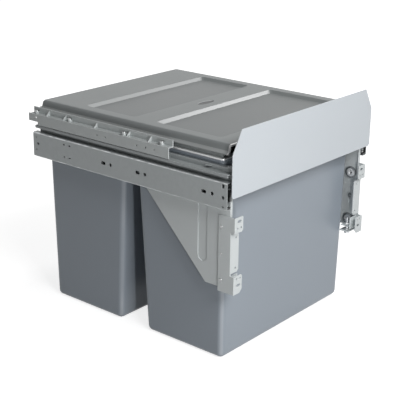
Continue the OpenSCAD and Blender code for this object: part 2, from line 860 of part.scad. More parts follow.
module lid() {
  half = unit_w / 2 - lid_inset;
  field_lens = [front_field_len, rear_field_len];
  field_ys = [
    lid_front + front_field_y + front_field_len / 2,
    lid_front + front_field_y + front_field_len + band_w + rear_field_len / 2
  ];
  oval_y = lid_front + front_field_y + front_field_len + band_w / 2;
  oval_depth = 1.2;
  foot_front = lid_front + 10;
  color(painted) in_unit() difference() {
    union() {
      translate([0, 0, lid_z]) {
        difference() {
          lid_body(lid_outside(half, lid_h), lid_front, lid_rear);
          lid_body(lid_inside(half, lid_h, lid_t), lid_front - 2, lid_rear);
        }
        difference() {
          lid_body(lid_foot(half, 3.5), foot_front, lid_rear);
          translate([0, 0, -eps]) scale([1, 1, 1.1])
            lid_body(lid_foot(half, 3.5 + lid_t), foot_front - 1, lid_rear);
        }
      }
      for (i = [0, 1]) translate([0, field_ys[i], lid_top - field_depth - lid_t])
        linear_extrude(field_depth + lid_t / 2) field_rect(0, field_lens[i]);
    }
    for (i = [0, 1]) translate([0, field_ys[i], lid_top]) field_cut(field_lens[i]);
    translate([0, oval_y, lid_top - oval_depth]) linear_extrude(oval_depth + 1)
      polygon([for (a = [0 : 10 : 350]) [oval_len / 2 * cos(a), oval_w / 2 * sin(a)]]);
  }
}

// Lid holder: a flat frame under the lid with tabs for the side brackets
module lid_frame() {
  front = lid_front + 4;
  rear = lid_rear + 2;
  w = unit_w - 2 * holder_inset;
  len = rear - front;
  corner = 6;
  color(painted) in_unit() {
    difference() {
      union() {
        translate([0, (front + rear) / 2, holder_z]) linear_extrude(holder_t) difference() {
          round_rect(w, len, corner);
          round_rect(w - 2 * holder_w, len - 2 * holder_w, corner);
        }
        on_both_sides() for (y = holder_screw_ys)
          translate([bracket_t + 1, y - 8, holder_z]) cube([holder_inset + 2 - bracket_t, 16, holder_t]);
      }
      on_both_sides() for (y = holder_screw_ys)
        translate([holder_screw_u, y, holder_z - eps])
          cylinder(h = holder_t + 2 * eps, d = holder_screw_d + hole_play);
    }
  }
}

module lid_bracket(right) {
  floor_z = holder_top;
  floor_top = floor_z + bracket_t;
  rib_h = bracket_wall_h - 3.7;
  ear_h = 14;
  ear_z = floor_top - ear_h;
  skirt_hole_z = floor_top - bracket_skirt_h / 2;
  color(painted) in_unit() on_side(right) {
    difference() {
      union() {
        along_y(bracket_front, bracket_rear)
          translate([0, floor_top - bracket_skirt_h]) square([bracket_t, bracket_skirt_h]);
        along_y(bracket_front, channel_rear) {
          translate([0, floor_z]) square([bracket_wall_u + bracket_t, bracket_t]);
          translate([bracket_wall_u, floor_z]) square([bracket_t, bracket_wall_h]);
        }
        for (y = rib_ys) along_y(y - bracket_t / 2, y + bracket_t / 2) polygon([
          [bracket_t, floor_top - eps], [bracket_wall_u + eps, floor_top - eps],
          [bracket_wall_u + eps, floor_top + rib_h]
        ]);
        for (y = holder_screw_ys) translate([holder_screw_u, y, floor_top - eps])
          cylinder(h = boss_h, d = holder_screw_d + 4);
        translate([0, bracket_rear - eps, ear_z]) cube([bracket_t, ear_len + eps, ear_h]);
      }
      for (y = holder_screw_ys) translate([holder_screw_u, y, floor_z - eps])
        cylinder(h = bracket_t + boss_h + 2 * eps, d = holder_screw_d + hole_play);
      translate([0, bracket_rear + 4, ear_z + 8]) bar_x(-eps, bracket_t + eps, ear_hole_d);
      for (y = skirt_hole_ys)
        translate([0, y, skirt_hole_z]) bar_x(-eps, bracket_t + eps, skirt_hole_d);
    }
  }
}

module lid_bracket_screws() {
  head_z = holder_top + bracket_t + boss_h;
  color(steel) in_unit() {
    on_both_sides() for (y = holder_screw_ys) translate([holder_screw_u, y, 0]) difference() {
      union() {
        translate([0, 0, holder_z - 3])
          cylinder(h = head_z - holder_z + 3 + eps, d = holder_screw_d);
        translate([0, 0, head_z]) cylinder(h = 2.4, d = holder_screw_d * 1.9);
      }
      translate([0, 0, head_z + 1.2]) cross_cut(holder_screw_d, 2);
    }
  }
}

// Door brackets: a leg on the side plate with two tabs for the door
module tab_holes(slot_z, up) {
  translate([slot_u, slot_z]) slot(tab_slot_len, tab_slot_w);
  for (s = [-1, 1])
    translate([slot_u + s * tab_hole_step / 2, slot_z + up * tab_hole_rise]) circle(d = tab_hole_d);
}

module tab_outline(z0, h, low_cut, high_cut) {
  polygon([
    [door_u, z0], [tab_end_u - low_cut, z0], [tab_end_u, z0 + low_cut],
    [tab_end_u, z0 + h - high_cut], [tab_end_u - high_cut, z0 + h], [door_u, z0 + h]
  ]);
}

module door_bracket(right) {
  upper_z = door_top - upper_tab_h;
  relief = 3;
  mid_z = door_z + lower_tab_h + relief;
  mid_top = upper_z - relief;
  flange_y = plate_front + frame_t + 1;
  color(painted) in_unit() on_side(right) {
    difference() {
      union() {
        along_x(door_u, door_u + door_t) {
          translate([door_y + set_back, door_z]) square([leg_len - set_back, door_h]);
          translate([door_y, door_z]) square([leg_len, lower_tab_h]);
          translate([door_y, upper_z]) square([leg_len, upper_tab_h]);
        }
        along_y(door_y, door_y + door_t) {
          tab_outline(door_z, lower_tab_h, 6, 2);
          tab_outline(upper_z, upper_tab_h, 3, 2);
        }
        along_y(door_y + set_back, door_y + set_back + door_t)
          tab_outline(mid_z, mid_top - mid_z, 4, 4);
        translate([door_u, flange_y, door_z])
          cube([plate_flange_u - door_u, leg_rear - flange_y, door_t]);
      }
      along_y(door_y - eps, door_y + door_t + eps) {
        tab_holes(low_slot_z, 1);
        tab_holes(low_slot_z + tab_slot_step, -1);
      }
      along_y(door_y + set_back - eps, door_y + set_back + door_t + eps)
        for (z = [mid_z + 8, mid_top - 8]) translate([slot_u + 2, z]) square(3.5, center = true);
      for (z = clamp_zs) translate([0, clamp_y, z])
        bar_x(door_u - eps, door_u + door_t + eps, clamp_d + hole_play / 2);
      translate([0, clamp_y, door_mid])
        bar_x(door_u - eps, door_u + door_t + eps, guide_d + hole_play / 2);
      translate([screw_u, screw_y, door_z - eps])
        cylinder(h = door_t + 2 * eps, d = height_screw_d + 2 * hole_play);
    }
  }
}

// Clamp screws: two round heads behind the side plate and a small guide rivet between them
module clamp_screws(right) {
  head_u = plate_u + 0.2;
  proud = 0.8;
  color(steel) in_unit() on_side(right) {
    for (z = clamp_zs) translate([0, clamp_y, z]) difference() {
      union() {
        bar_x(door_u - proud, head_u + eps, clamp_d);
        bar_x(head_u, head_u + clamp_head_h - 1, clamp_head_d);
        bar_x(head_u, head_u + clamp_head_h, clamp_head_d - 6);
      }
      translate([head_u + clamp_head_h, 0, 0]) rotate([0, -90, 0]) cross_cut(9, 2);
    }
    translate([0, clamp_y, door_mid]) {
      bar_x(door_u, head_u + eps, guide_d);
      bar_x(head_u, head_u + 1.5, guide_d + 3);
    }
  }
}

// Height screw: turns in the bracket's lower flange and works in a nut on the side plate
module height_screw(right) {
  head_h = 4;
  collar_h = 2;
  color(steel) in_unit() on_side(right) {
    translate([screw_u, screw_y, 0]) difference() {
      union() {
        translate([0, 0, door_z - run_gap - head_h]) cylinder(h = head_h, d = 2 * height_screw_d);
        translate([0, 0, door_z - run_gap - eps])
          cylinder(h = nut_tab_z + 16 - door_z, d = height_screw_d);
        translate([0, 0, door_z + door_t + run_gap])
          cylinder(h = collar_h, d = 1.7 * height_screw_d);
      }
      translate([0, 0, door_z - run_gap - head_h]) cross_cut(1.4 * height_screw_d, 2);
    }
  }
}

module adjuster_nuts() {
  nut_h = 4;
  color(steel) in_unit() {
    on_both_sides() translate([screw_u, screw_y, nut_tab_z + frame_t]) difference() {
      cylinder(h = nut_h, d = 1.9 * height_screw_d, $fn = 6);
      translate([0, 0, -eps]) cylinder(h = nut_h + 2 * eps, d = height_screw_d + 2 * run_gap);
    }
  }
}

outer_rail(false);  // left_outer_rail
outer_rail(true);  // right_outer_rail
middle_rail(false);  // left_middle_rail
middle_rail(true);  // right_middle_rail
inner_rail(false);  // left_inner_rail
inner_rail(true);  // right_inner_rail
outer_cage(false);  // left_outer_cage
outer_cage(true);  // right_outer_cage
outer_balls(false);  // left_outer_balls
outer_balls(true);  // right_outer_balls
inner_cage(false);  // left_inner_cage
inner_cage(true);  // right_inner_cage
inner_balls(false);  // left_inner_balls
inner_balls(true);  // right_inner_balls
front_buffer(false);  // left_front_buffer
front_buffer(true);  // right_front_buffer
damper_housing(false);  // left_damper_housing
damper_housing(true);  // right_damper_housing
damper_rod(false);  // left_damper_rod
damper_rod(true);  // right_damper_rod
side_rail(false);  // left_side_rail
side_rail(true);  // right_side_rail
side_plate(false);  // left_side_plate
side_plate(true);  // right_side_plate
lid_bracket(false);  // left_lid_bracket
lid_bracket(true);  // right_lid_bracket
door_bracket(false);  // left_door_bracket
door_bracket(true);  // right_door_bracket
clamp_screws(false);  // left_clamp_screws
clamp_screws(true);  // right_clamp_screws
height_screw(false);  // left_height_screw
height_screw(true);  // right_height_screw
slide_end_caps();
front_crossbar();
middle_crossbar();
rear_crossbar();
frame_rivets();
front_panel();
panel_nuts();
lid_frame();
lid_bracket_screws();
lid();
adjuster_nuts();
bin(bin_centres[0], false);  // front_bin
bin(bin_centres[1], true);  // rear_bin
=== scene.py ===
import json
import math

import bmesh
import bpy
from bpy.props import FloatProperty, FloatVectorProperty, IntProperty, PointerProperty
from bpy.types import Operator, Panel, PropertyGroup
from mathutils import Matrix, Vector

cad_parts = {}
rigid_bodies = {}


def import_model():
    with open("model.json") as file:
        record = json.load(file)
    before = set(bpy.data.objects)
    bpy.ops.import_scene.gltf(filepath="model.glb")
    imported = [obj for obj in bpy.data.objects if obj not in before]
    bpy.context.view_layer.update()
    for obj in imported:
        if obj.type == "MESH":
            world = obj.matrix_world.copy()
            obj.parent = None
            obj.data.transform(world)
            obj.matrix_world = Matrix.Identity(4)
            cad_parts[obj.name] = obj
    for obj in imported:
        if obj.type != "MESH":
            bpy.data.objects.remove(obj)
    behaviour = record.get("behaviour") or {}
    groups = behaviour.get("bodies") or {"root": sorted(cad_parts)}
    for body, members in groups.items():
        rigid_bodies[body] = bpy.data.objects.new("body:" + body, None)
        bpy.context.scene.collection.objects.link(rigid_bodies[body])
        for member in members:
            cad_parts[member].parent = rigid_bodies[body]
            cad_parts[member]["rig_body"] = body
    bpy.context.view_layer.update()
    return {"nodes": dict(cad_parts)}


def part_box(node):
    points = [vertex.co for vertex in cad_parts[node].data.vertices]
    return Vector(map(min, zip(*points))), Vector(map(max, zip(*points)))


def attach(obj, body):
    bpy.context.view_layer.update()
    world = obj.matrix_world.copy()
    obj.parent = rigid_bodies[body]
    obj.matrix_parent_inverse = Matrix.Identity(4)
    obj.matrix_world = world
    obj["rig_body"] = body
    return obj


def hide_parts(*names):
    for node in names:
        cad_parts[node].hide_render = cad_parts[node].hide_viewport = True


bl_info = {
    "name": "Pull-out bin frame",
    "version": (1, 0, 0),
    "blender": (4, 5, 0),
    "location": "View3D > Sidebar > Bin frame",
    "description": "Dresses the pull-out bin frame with its finishes, softened edges and studio stage",
    "category": "Object",
}

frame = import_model()
NODES = frame["nodes"]
SIDES = ("left", "right")
MM = 0.001

# Points this close are merged, and a place is met within this distance
MERGE = 1e-6
NEAR = 1e-5
# The edges of a CAD piece that are rounded: how sharp in degrees, how long and in how many steps
SHARP_TURN = 40
LEAST_EDGE = 3 * MM
EDGE_STEPS = 2
# Turns up to these angles in degrees are shaded as one surface, on CAD pieces and on modelled sheets
CAD_SMOOTH = 25
SHEET_SMOOTH = 40
# How far large faces outweigh small ones in the shading
FLAT_WEIGHT = 80
# Scales of the patches: spots of wear along an edge, or broad areas for the painted highlights and shade
SPOTS = 90.0
BROAD = 3.0
# Scale of the slow change of tone over a piece, and how far the roughness follows it
DRIFT_SCALE = 5.0
ROUGH_DRIFT = 0.06
# How far crystals of zinc differ in tone, and the strength of the rolling lines
CRYSTAL_DRIFT = 0.05
ROLLING_BUMP = 0.06
# Height of the grain and of the rolling lines
RELIEF = 0.2 * MM
# Sockets of a Mix node that mixes colours
MIX_FACTOR, MIX_FIRST, MIX_SECOND, MIX_RESULT = 0, 6, 7, 2


# Properties

class BinFrameSizes(PropertyGroup):
    """Sizes of the modelled pieces"""
    sheet_edge: FloatProperty(
        name="Sheet edge", description="Rounding of the edges of sheet metal",
        default=0.35 * MM, unit="LENGTH", precision=5)
    moulded_edge: FloatProperty(
        name="Moulded edge", description="Rounding of the edges of moulded pieces",
        default=0.45 * MM, unit="LENGTH", precision=5)
    lid_wall: FloatProperty(
        name="Lid wall", description="Thickness of the lid's sheet",
        default=5.2 * MM, unit="LENGTH", precision=5)
    lid_corner: FloatProperty(
        name="Lid corner", description="Radius of the lid's rear corners",
        default=7 * MM, unit="LENGTH", precision=5)
    lid_shoulder: FloatProperty(
        name="Lid shoulder", description="Radius along the lid's top edge",
        default=5 * MM, unit="LENGTH", precision=5)
    field_depth: FloatProperty(
        name="Field depth", description="Depth of the lid's sunk fields",
        default=5 * MM, unit="LENGTH", precision=5)
    field_slope: FloatProperty(
        name="Field slope", description="Run of the slope round a sunk field",
        default=8 * MM, unit="LENGTH", precision=5)
    field_corner: FloatProperty(
        name="Field corner", description="Corner radius of a sunk field",
        default=8 * MM, unit="LENGTH", precision=5)
    field_edge: FloatProperty(
        name="Field edge", description="Bend radius round a sunk field",
        default=0.7 * MM, unit="LENGTH", precision=5)
    oval_depth: FloatProperty(
        name="Oval depth", description="Depth of the bare oval in the lid",
        default=1.2 * MM, unit="LENGTH", precision=5)
    bin_wall: FloatProperty(
        name="Bin wall", description="Thickness of a bin's wall",
        default=2.2 * MM, unit="LENGTH", precision=5)
    bin_corner: FloatProperty(
        name="Bin corner", description="Radius of a bin's upright corners",
        default=10.5 * MM, unit="LENGTH", precision=5)
    corner_steps: IntProperty(
        name="Corner steps", description="Segments of a bin's upright corner",
        default=6, min=2, max=16)
    bin_foot_edge: FloatProperty(
        name="Bin foot edge", description="Radius round a bin's foot",
        default=10 * MM, unit="LENGTH", precision=5)
    bin_draft: FloatProperty(
        name="Bin draft", description="Lean of a bin's walls",
        default=math.radians(0.8), subtype="ANGLE")
    gap_draft: FloatProperty(
        name="Facing draft", description="Lean of the walls with which the bins face each other",
        default=math.radians(3.3), subtype="ANGLE")
    rim_over: FloatProperty(
        name="Rim overhang", description="How far a bin's rim stands out",
        default=5 * MM, unit="LENGTH", precision=5)
    rim_height: FloatProperty(
        name="Rim height", description="Depth of the skirt of a bin's rim",
        default=8.5 * MM, unit="LENGTH", precision=5)


class BinFrameFinishes(PropertyGroup):
    """Colours of the finishes"""
    lid_grey: FloatVectorProperty(
        name="Lid grey", description="Moulded grey of the lid", subtype="COLOR",
        default=(0.2, 0.217, 0.218), min=0, max=1)
    # Painted highlight: the lid's front cut edge is coloured pale, as the panel shades it from the lamps
    cut_grey: FloatVectorProperty(
        name="Cut grey", description="Pale core that shows on the lid's front edge", subtype="COLOR",
        default=(0.86, 0.87, 0.87), min=0, max=1)
    holder_grey: FloatVectorProperty(
        name="Holder grey", description="Moulded grey of the lid's brackets", subtype="COLOR",
        default=(0.5, 0.53, 0.53), min=0, max=1)
    panel_grey: FloatVectorProperty(
        name="Panel grey", description="Pale paint of the front panel", subtype="COLOR",
        default=(0.6, 0.64, 0.675), min=0, max=1)
    plate_grey: FloatVectorProperty(
        name="Plate grey", description="Paint of the side plates and door brackets", subtype="COLOR",
        default=(0.62, 0.655, 0.66), min=0, max=1)
    rail_grey: FloatVectorProperty(
        name="Rail grey", description="Paint of the side rails and crossbars", subtype="COLOR",
        default=(0.36, 0.385, 0.39), min=0, max=1)
    bin_grey: FloatVectorProperty(
        name="Bin grey", description="Blue-grey plastic of the bins", subtype="COLOR",
        default=(0.295, 0.333, 0.377), min=0, max=1)
    slide_zinc: FloatVectorProperty(
        name="Slide zinc", description="Galvanised steel of the slides", subtype="COLOR",
        default=(0.36, 0.385, 0.39), min=0, max=1)
    sheet_zinc: FloatVectorProperty(
        name="Sheet zinc", description="Bright sheet of the lid's frame", subtype="COLOR",
        default=(0.84, 0.85, 0.855), min=0, max=1)
    bright_zinc: FloatVectorProperty(
        name="Bright zinc", description="Plated height screws, rivets, nuts and damper rods",
        subtype="COLOR", default=(0.66, 0.67, 0.68), min=0, max=1)
    dull_zinc: FloatVectorProperty(
        name="Dull zinc", description="Plated clamp screws and screws in the lid's brackets",
        subtype="COLOR", default=(0.36, 0.37, 0.37), min=0, max=1)
    # Also the painted shade on the flanks of the lid's frame
    dark_zinc: FloatVectorProperty(
        name="Dark zinc", description="Plated cages and balls, and the darker flanks of the lid's frame",
        subtype="COLOR", default=(0.07, 0.075, 0.08), min=0, max=1)
    # Pale tone of wear on edges; on the bins' corners, the rails' bends and the clamp screws' heads it is
    # painted highlight
    worn_tone: FloatVectorProperty(
        name="Worn tone", description="Tone of edges and screw heads rubbed by use", subtype="COLOR",
        default=(0.78, 0.79, 0.8), min=0, max=1)
    black: FloatVectorProperty(
        name="Black", description="Black plastic of the buffers and soft-close units", subtype="COLOR",
        default=(0.018, 0.019, 0.02), min=0, max=1)


class BinFrameStage(PropertyGroup):
    """Light, floor and lens"""
    key_power: FloatProperty(
        name="Key light", description="Power of the soft light high off the front left",
        default=58, unit="POWER")
    strip_power: FloatProperty(
        name="Strip light", description="Power of the upright strip off the front left corner",
        default=4, unit="POWER")
    top_power: FloatProperty(
        name="Top light", description="Power of the light high on the right",
        default=18, unit="POWER")
    rear_power: FloatProperty(
        name="Rear light", description="Power of the soft light behind the bins",
        default=9, unit="POWER")
    ambient: FloatProperty(
        name="Ambient", description="Strength of the light from all round",
        default=0.06, min=0, max=2)
    floor_glow: FloatProperty(
        name="Floor glow", description="Light that the seen floor adds near the bins, so that it reads white",
        default=0.8, min=0, max=1)
    glow_reach: FloatProperty(
        name="Glow reach", description="Distance at which the floor's glow is full",
        default=1.5, unit="LENGTH")
    floor_size: FloatProperty(
        name="Floor size", description="Edge of the floor",
        default=14, unit="LENGTH")
    floor_tone: FloatVectorProperty(
        name="Floor tone", description="Colour of the floor", subtype="COLOR",
        default=(0.5, 0.5, 0.5), min=0, max=1)
    lens: FloatProperty(
        name="Lens", description="Focal length in mm on a 36 mm wide frame",
        default=91.09)


def sizes():
    return bpy.context.scene.bin_frame_sizes


def finishes():
    return bpy.context.scene.bin_frame_finishes


def stage_values():
    return bpy.context.scene.bin_frame_stage


# Mesh helpers

def turned_edges(bm, least):
    """Edges between two faces that meet at more than the given angle in degrees."""
    limit = math.radians(least)
    return [e for e in bm.edges if len(e.link_faces) == 2 and e.calc_face_angle(0) > limit]


def round_edges(bm, edges, width, segments):
    return bmesh.ops.bevel(
        bm, geom=edges, offset=width, offset_type="OFFSET", segments=segments, profile=0.5, affect="EDGES",
        clamp_overlap=False, material=-1)["faces"]


def verts_in(made):
    """The vertices among what an operator made."""
    return [g for g in made if isinstance(g, bmesh.types.BMVert)]


def edges_in(made):
    """The edges among what an operator made."""
    return [g for g in made if isinstance(g, bmesh.types.BMEdge)]


def rectangle(bm, half_x, front, rear, z):
    """One flat face, centred in X."""
    verts = bmesh.ops.create_grid(bm, x_segments=1, y_segments=1, size=0.5)["verts"]
    bmesh.ops.scale(bm, verts=verts, vec=(2 * half_x, rear - front, 1))
    bmesh.ops.translate(bm, verts=verts, vec=(0, (rear + front) / 2, z))
    return verts


def piece_from(bm, name, body, material, nodes):
    """A shaded object from a bmesh, riding on a body and standing for CAD nodes."""
    mesh = bpy.data.meshes.new(name)
    for f in bm.faces:
        f.smooth = True
    bm.to_mesh(mesh)
    bm.free()
    mesh.materials.append(material)
    piece = bpy.data.objects.new(name, mesh)
    bpy.context.scene.collection.objects.link(piece)
    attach(piece, body)
    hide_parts(*nodes)
    return piece


def even_shading(piece, angle):
    """Keeps flat faces flat beside their rounded edges. Turns of more than the angle stay sharp."""
    piece.data.set_sharp_from_angle(angle=math.radians(angle))
    weigh = piece.modifiers.new("flat faces", "WEIGHTED_NORMAL")
    weigh.keep_sharp = True
    weigh.weight = FLAT_WEIGHT


def give_wall(piece, thickness):
    """Thickens a modelled sheet inwards."""
    wall = piece.modifiers.new("wall", "SOLIDIFY")
    wall.thickness = thickness
    wall.offset = -1
    even_shading(piece, SHEET_SMOOTH)


def merged_copy(node):
    """A bmesh of a CAD piece, with its loose triangles joined."""
    bm = bmesh.new()
    bm.from_mesh(NODES[node].data)
    bmesh.ops.remove_doubles(bm, verts=bm.verts, dist=MERGE)
    return bm


def put_in_place(bm, node, material):
    """Lets a copy of a CAD piece stand for it."""
    piece = piece_from(bm, node + "_dressed", NODES[node]["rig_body"], material, [node])
    even_shading(piece, CAD_SMOOTH)


def on_a_bend(normal):
    """A face that looks along none of the three axes."""
    return max(abs(part) for part in normal) < 0.97


def on_a_flank(normal):
    """A face that doesn't look up."""
    return normal.z < 0.3


def soften(node, material, width, rubbed=None):
    """A copy of a CAD piece with its long sharp edges rounded. They wear, or else the faces that the picker
    finds take the tone, as wear and painted light.
    """
    bm = merged_copy(node)
    bmesh.ops.dissolve_limit(bm, angle_limit=math.radians(0.5), verts=bm.verts, edges=bm.edges)
    worn = bm.faces.layers.float.new("worn")
    long_edges = [e for e in turned_edges(bm, SHARP_TURN) if e.is_convex and e.calc_length() > LEAST_EDGE]
    rounded = round_edges(bm, long_edges, width, EDGE_STEPS)
    bm.normal_update()
    wearing = [f for f in bm.faces if rubbed(f.normal)] if rubbed else rounded
    for f in wearing:
        f[worn] = 1.0
    put_in_place(bm, node, material)


def paint_node(node, material):
    NODES[node].data.materials.clear()
    NODES[node].data.materials.append(material)


# Shader helpers

def mark(nodes, name):
    """The value with which a piece marks its faces."""
    attribute = nodes.new("ShaderNodeAttribute")
    attribute.attribute_name = name
    return attribute.outputs["Fac"]


def noise(nodes, links, scale, detail, roughness=0.5):
    """Noise on the piece's own coordinates."""
    place = nodes.new("ShaderNodeTexCoord")
    pattern = nodes.new("ShaderNodeTexNoise")
    pattern.inputs["Detail"].default_value = detail
    pattern.inputs["Roughness"].default_value = roughness
    links.new(place.outputs["Object"], pattern.inputs["Vector"])
    links.new(scale, pattern.inputs["Scale"])
    return pattern.outputs["Fac"]


def calculated(nodes, links, operation, first, second):
    """A socket reckoned with another socket or with a number."""
    step = nodes.new("ShaderNodeMath")
    step.operation = operation
    links.new(first, step.inputs[0])
    if isinstance(second, float):
        step.inputs[1].default_value = second
    else:
        links.new(second, step.inputs[1])
    return step.outputs[0]


def ranged(nodes, links, source, low, high, start=0.0, end=1.0):
    """A value that goes from low to high while its source goes from start to end."""
    spread = nodes.new("ShaderNodeMapRange")
    spread.inputs["From Min"].default_value = start
    spread.inputs["From Max"].default_value = end
    spread.inputs["To Min"].default_value = low
    spread.inputs["To Max"].default_value = high
    links.new(source, spread.inputs["Value"])
    return spread.outputs["Result"]


def mixed(nodes, links, factor, first, second, way="MIX"):
    """A colour socket mixed with another one, or with a fixed colour."""
    mix = nodes.new("ShaderNodeMix")
    mix.data_type = "RGBA"
    mix.blend_type = way
    links.new(factor, mix.inputs[MIX_FACTOR])
    links.new(first, mix.inputs[MIX_FIRST])
    if isinstance(second, tuple):
        mix.inputs[MIX_SECOND].default_value = second
    else:
        links.new(second, mix.inputs[MIX_SECOND])
    return mix.outputs[MIX_RESULT]


# Shared shader effects

def new_group(name, ins, outs):
    """A node group with named sockets, and the nodes at its two ends."""
    group = bpy.data.node_groups.new(name, "ShaderNodeTree")
    for label, kind, value in ins:
        socket = group.interface.new_socket(name=label, in_out="INPUT", socket_type=kind)
        socket.default_value = value
    for label, kind in outs:
        group.interface.new_socket(name=label, in_out="OUTPUT", socket_type=kind)
    return group, group.nodes.new("NodeGroupInput"), group.nodes.new("NodeGroupOutput")


def grain_group():
    """Fine moulded or painted grain: a height for bump and a slow drift of tone."""
    if "fine grain" in bpy.data.node_groups:
        return bpy.data.node_groups["fine grain"]
    group, given, result = new_group(
        "fine grain",
        [("Scale", "NodeSocketFloat", 900.0), ("Drift Scale", "NodeSocketFloat", DRIFT_SCALE)],
        [("Height", "NodeSocketFloat"), ("Drift", "NodeSocketFloat")])
    nodes, links = group.nodes, group.links
    fine = noise(nodes, links, given.outputs["Scale"], 4.0, 0.6)
    slow = noise(nodes, links, given.outputs["Drift Scale"], 3.0)
    links.new(fine, result.inputs["Height"])
    links.new(slow, result.inputs["Drift"])
    return group


def tint_group():
    """A colour made a little darker or lighter by a value from 0 to 1."""
    if "tone drift" in bpy.data.node_groups:
        return bpy.data.node_groups["tone drift"]
    group, given, result = new_group(
        "tone drift",
        [("Colour", "NodeSocketColor", (0.5, 0.5, 0.5, 1)), ("Drift", "NodeSocketFloat", 0.5),
         ("Amount", "NodeSocketFloat", 0.1)],
        [("Colour", "NodeSocketColor")])
    nodes, links = group.nodes, group.links
    centred = calculated(nodes, links, "SUBTRACT", given.outputs["Drift"], 0.5)
    scaled = calculated(nodes, links, "MULTIPLY", centred, given.outputs["Amount"])
    shade = nodes.new("ShaderNodeVectorMath")
    shade.operation = "SCALE"
    links.new(given.outputs["Colour"], shade.inputs[0])
    links.new(calculated(nodes, links, "ADD", scaled, 1.0), shade.inputs["Scale"])
    links.new(shade.outputs[0], result.inputs["Colour"])
    return group


def wear_group():
    """A second tone, in patches, on the faces that a piece marks: wear, and painted highlights and shade."""
    if "edge wear" in bpy.data.node_groups:
        return bpy.data.node_groups["edge wear"]
    group, given, result = new_group(
        "edge wear",
        [("Colour", "NodeSocketColor", (0.5, 0.5, 0.5, 1)),
         ("Worn Tone", "NodeSocketColor", (0.8, 0.8, 0.8, 1)),
         ("Amount", "NodeSocketFloat", 0.3), ("Patch Scale", "NodeSocketFloat", SPOTS)],
        [("Colour", "NodeSocketColor"), ("Mask", "NodeSocketFloat")])
    nodes, links = group.nodes, group.links
    patches = noise(nodes, links, given.outputs["Patch Scale"], 3.0)
    spread = ranged(nodes, links, patches, 0.25, 1.0, 0.35, 0.65)
    mask = calculated(nodes, links, "MULTIPLY", mark(nodes, "worn"), spread)
    part = calculated(nodes, links, "MULTIPLY", mask, given.outputs["Amount"])
    tone = mixed(nodes, links, part, given.outputs["Colour"], given.outputs["Worn Tone"])
    links.new(tone, result.inputs["Colour"])
    links.new(mask, result.inputs["Mask"])
    return group


def spangle_group():
    """Zinc spangle: flat crystals of slightly different brightness, and rolling lines along the rail."""
    if "zinc spangle" in bpy.data.node_groups:
        return bpy.data.node_groups["zinc spangle"]
    group, given, result = new_group(
        "zinc spangle",
        [("Crystal Scale", "NodeSocketFloat", 160.0)],
        [("Crystal", "NodeSocketFloat"), ("Rolling", "NodeSocketFloat")])
    nodes, links = group.nodes, group.links
    place = nodes.new("ShaderNodeTexCoord")
    cells = nodes.new("ShaderNodeTexVoronoi")
    cells.inputs["Randomness"].default_value = 1.0
    grey = nodes.new("ShaderNodeSeparateColor")
    stretch = nodes.new("ShaderNodeMapping")
    stretch.inputs["Scale"].default_value = (900.0, 12.0, 900.0)
    lines = nodes.new("ShaderNodeTexNoise")
    lines.inputs["Scale"].default_value = 1.0
    lines.inputs["Detail"].default_value = 2.0
    links.new(place.outputs["Object"], cells.inputs["Vector"])
    links.new(given.outputs["Crystal Scale"], cells.inputs["Scale"])
    links.new(cells.outputs["Color"], grey.inputs["Color"])
    links.new(grey.outputs["Red"], result.inputs["Crystal"])
    links.new(place.outputs["Object"], stretch.inputs["Vector"])
    links.new(stretch.outputs["Vector"], lines.inputs["Vector"])
    links.new(lines.outputs["Fac"], result.inputs["Rolling"])
    return group


# Finishes

def start_material(name):
    material = bpy.data.materials.new(name)
    material.use_nodes = True
    return material, material.node_tree.nodes, material.node_tree.links


def toned(nodes, links, drift_source, colour, drift, wear, worn_tone, patches):
    """A colour that drifts a little over the surface and turns to another tone on marked places (wear and
    painted light), and those places.
    """
    tint = nodes.new("ShaderNodeGroup")
    tint.node_tree = tint_group()
    tint.inputs["Colour"].default_value = (*colour, 1)
    tint.inputs["Amount"].default_value = drift
    links.new(drift_source, tint.inputs["Drift"])
    rubbed = nodes.new("ShaderNodeGroup")
    rubbed.node_tree = wear_group()
    rubbed.inputs["Worn Tone"].default_value = (*worn_tone, 1)
    rubbed.inputs["Amount"].default_value = wear
    rubbed.inputs["Patch Scale"].default_value = patches
    links.new(tint.outputs["Colour"], rubbed.inputs["Colour"])
    return rubbed.outputs["Colour"], rubbed.outputs["Mask"]


def emboss(nodes, links, height, strength):
    """Lets a height show as bump."""
    relief = nodes.new("ShaderNodeBump")
    relief.inputs["Strength"].default_value = strength
    relief.inputs["Distance"].default_value = RELIEF
    links.new(height, relief.inputs["Height"])
    links.new(relief.outputs["Normal"], nodes["Principled BSDF"].inputs["Normal"])


def grained_finish(name, colour, rough, bump, grain, drift, metallic=0.0, bare=None, specular=0.5, wear=0.3,
                   patches=SPOTS):
    """A painted, plated or moulded finish with fine grain, a slow drift of tone and a second tone on marked
    places: wear on edges, painted highlights on some pieces.

    Metallic is the finish, and bare the marked places where they differ from it.
    """
    if name in bpy.data.materials:
        return bpy.data.materials[name]
    material, nodes, links = start_material(name)
    shader = nodes["Principled BSDF"]
    effect = nodes.new("ShaderNodeGroup")
    effect.node_tree = grain_group()
    effect.inputs["Scale"].default_value = grain
    slow = effect.outputs["Drift"]
    tone, rubbed = toned(nodes, links, slow, colour, drift, wear, finishes().worn_tone, patches)
    links.new(tone, shader.inputs["Base Color"])
    roughness = ranged(nodes, links, slow, rough - ROUGH_DRIFT, rough + ROUGH_DRIFT)
    links.new(roughness, shader.inputs["Roughness"])
    emboss(nodes, links, effect.outputs["Height"], bump)
    shader.inputs["Metallic"].default_value = metallic
    if bare is not None:
        links.new(ranged(nodes, links, rubbed, metallic, bare), shader.inputs["Metallic"])
    shader.inputs["Specular IOR Level"].default_value = specular
    return material


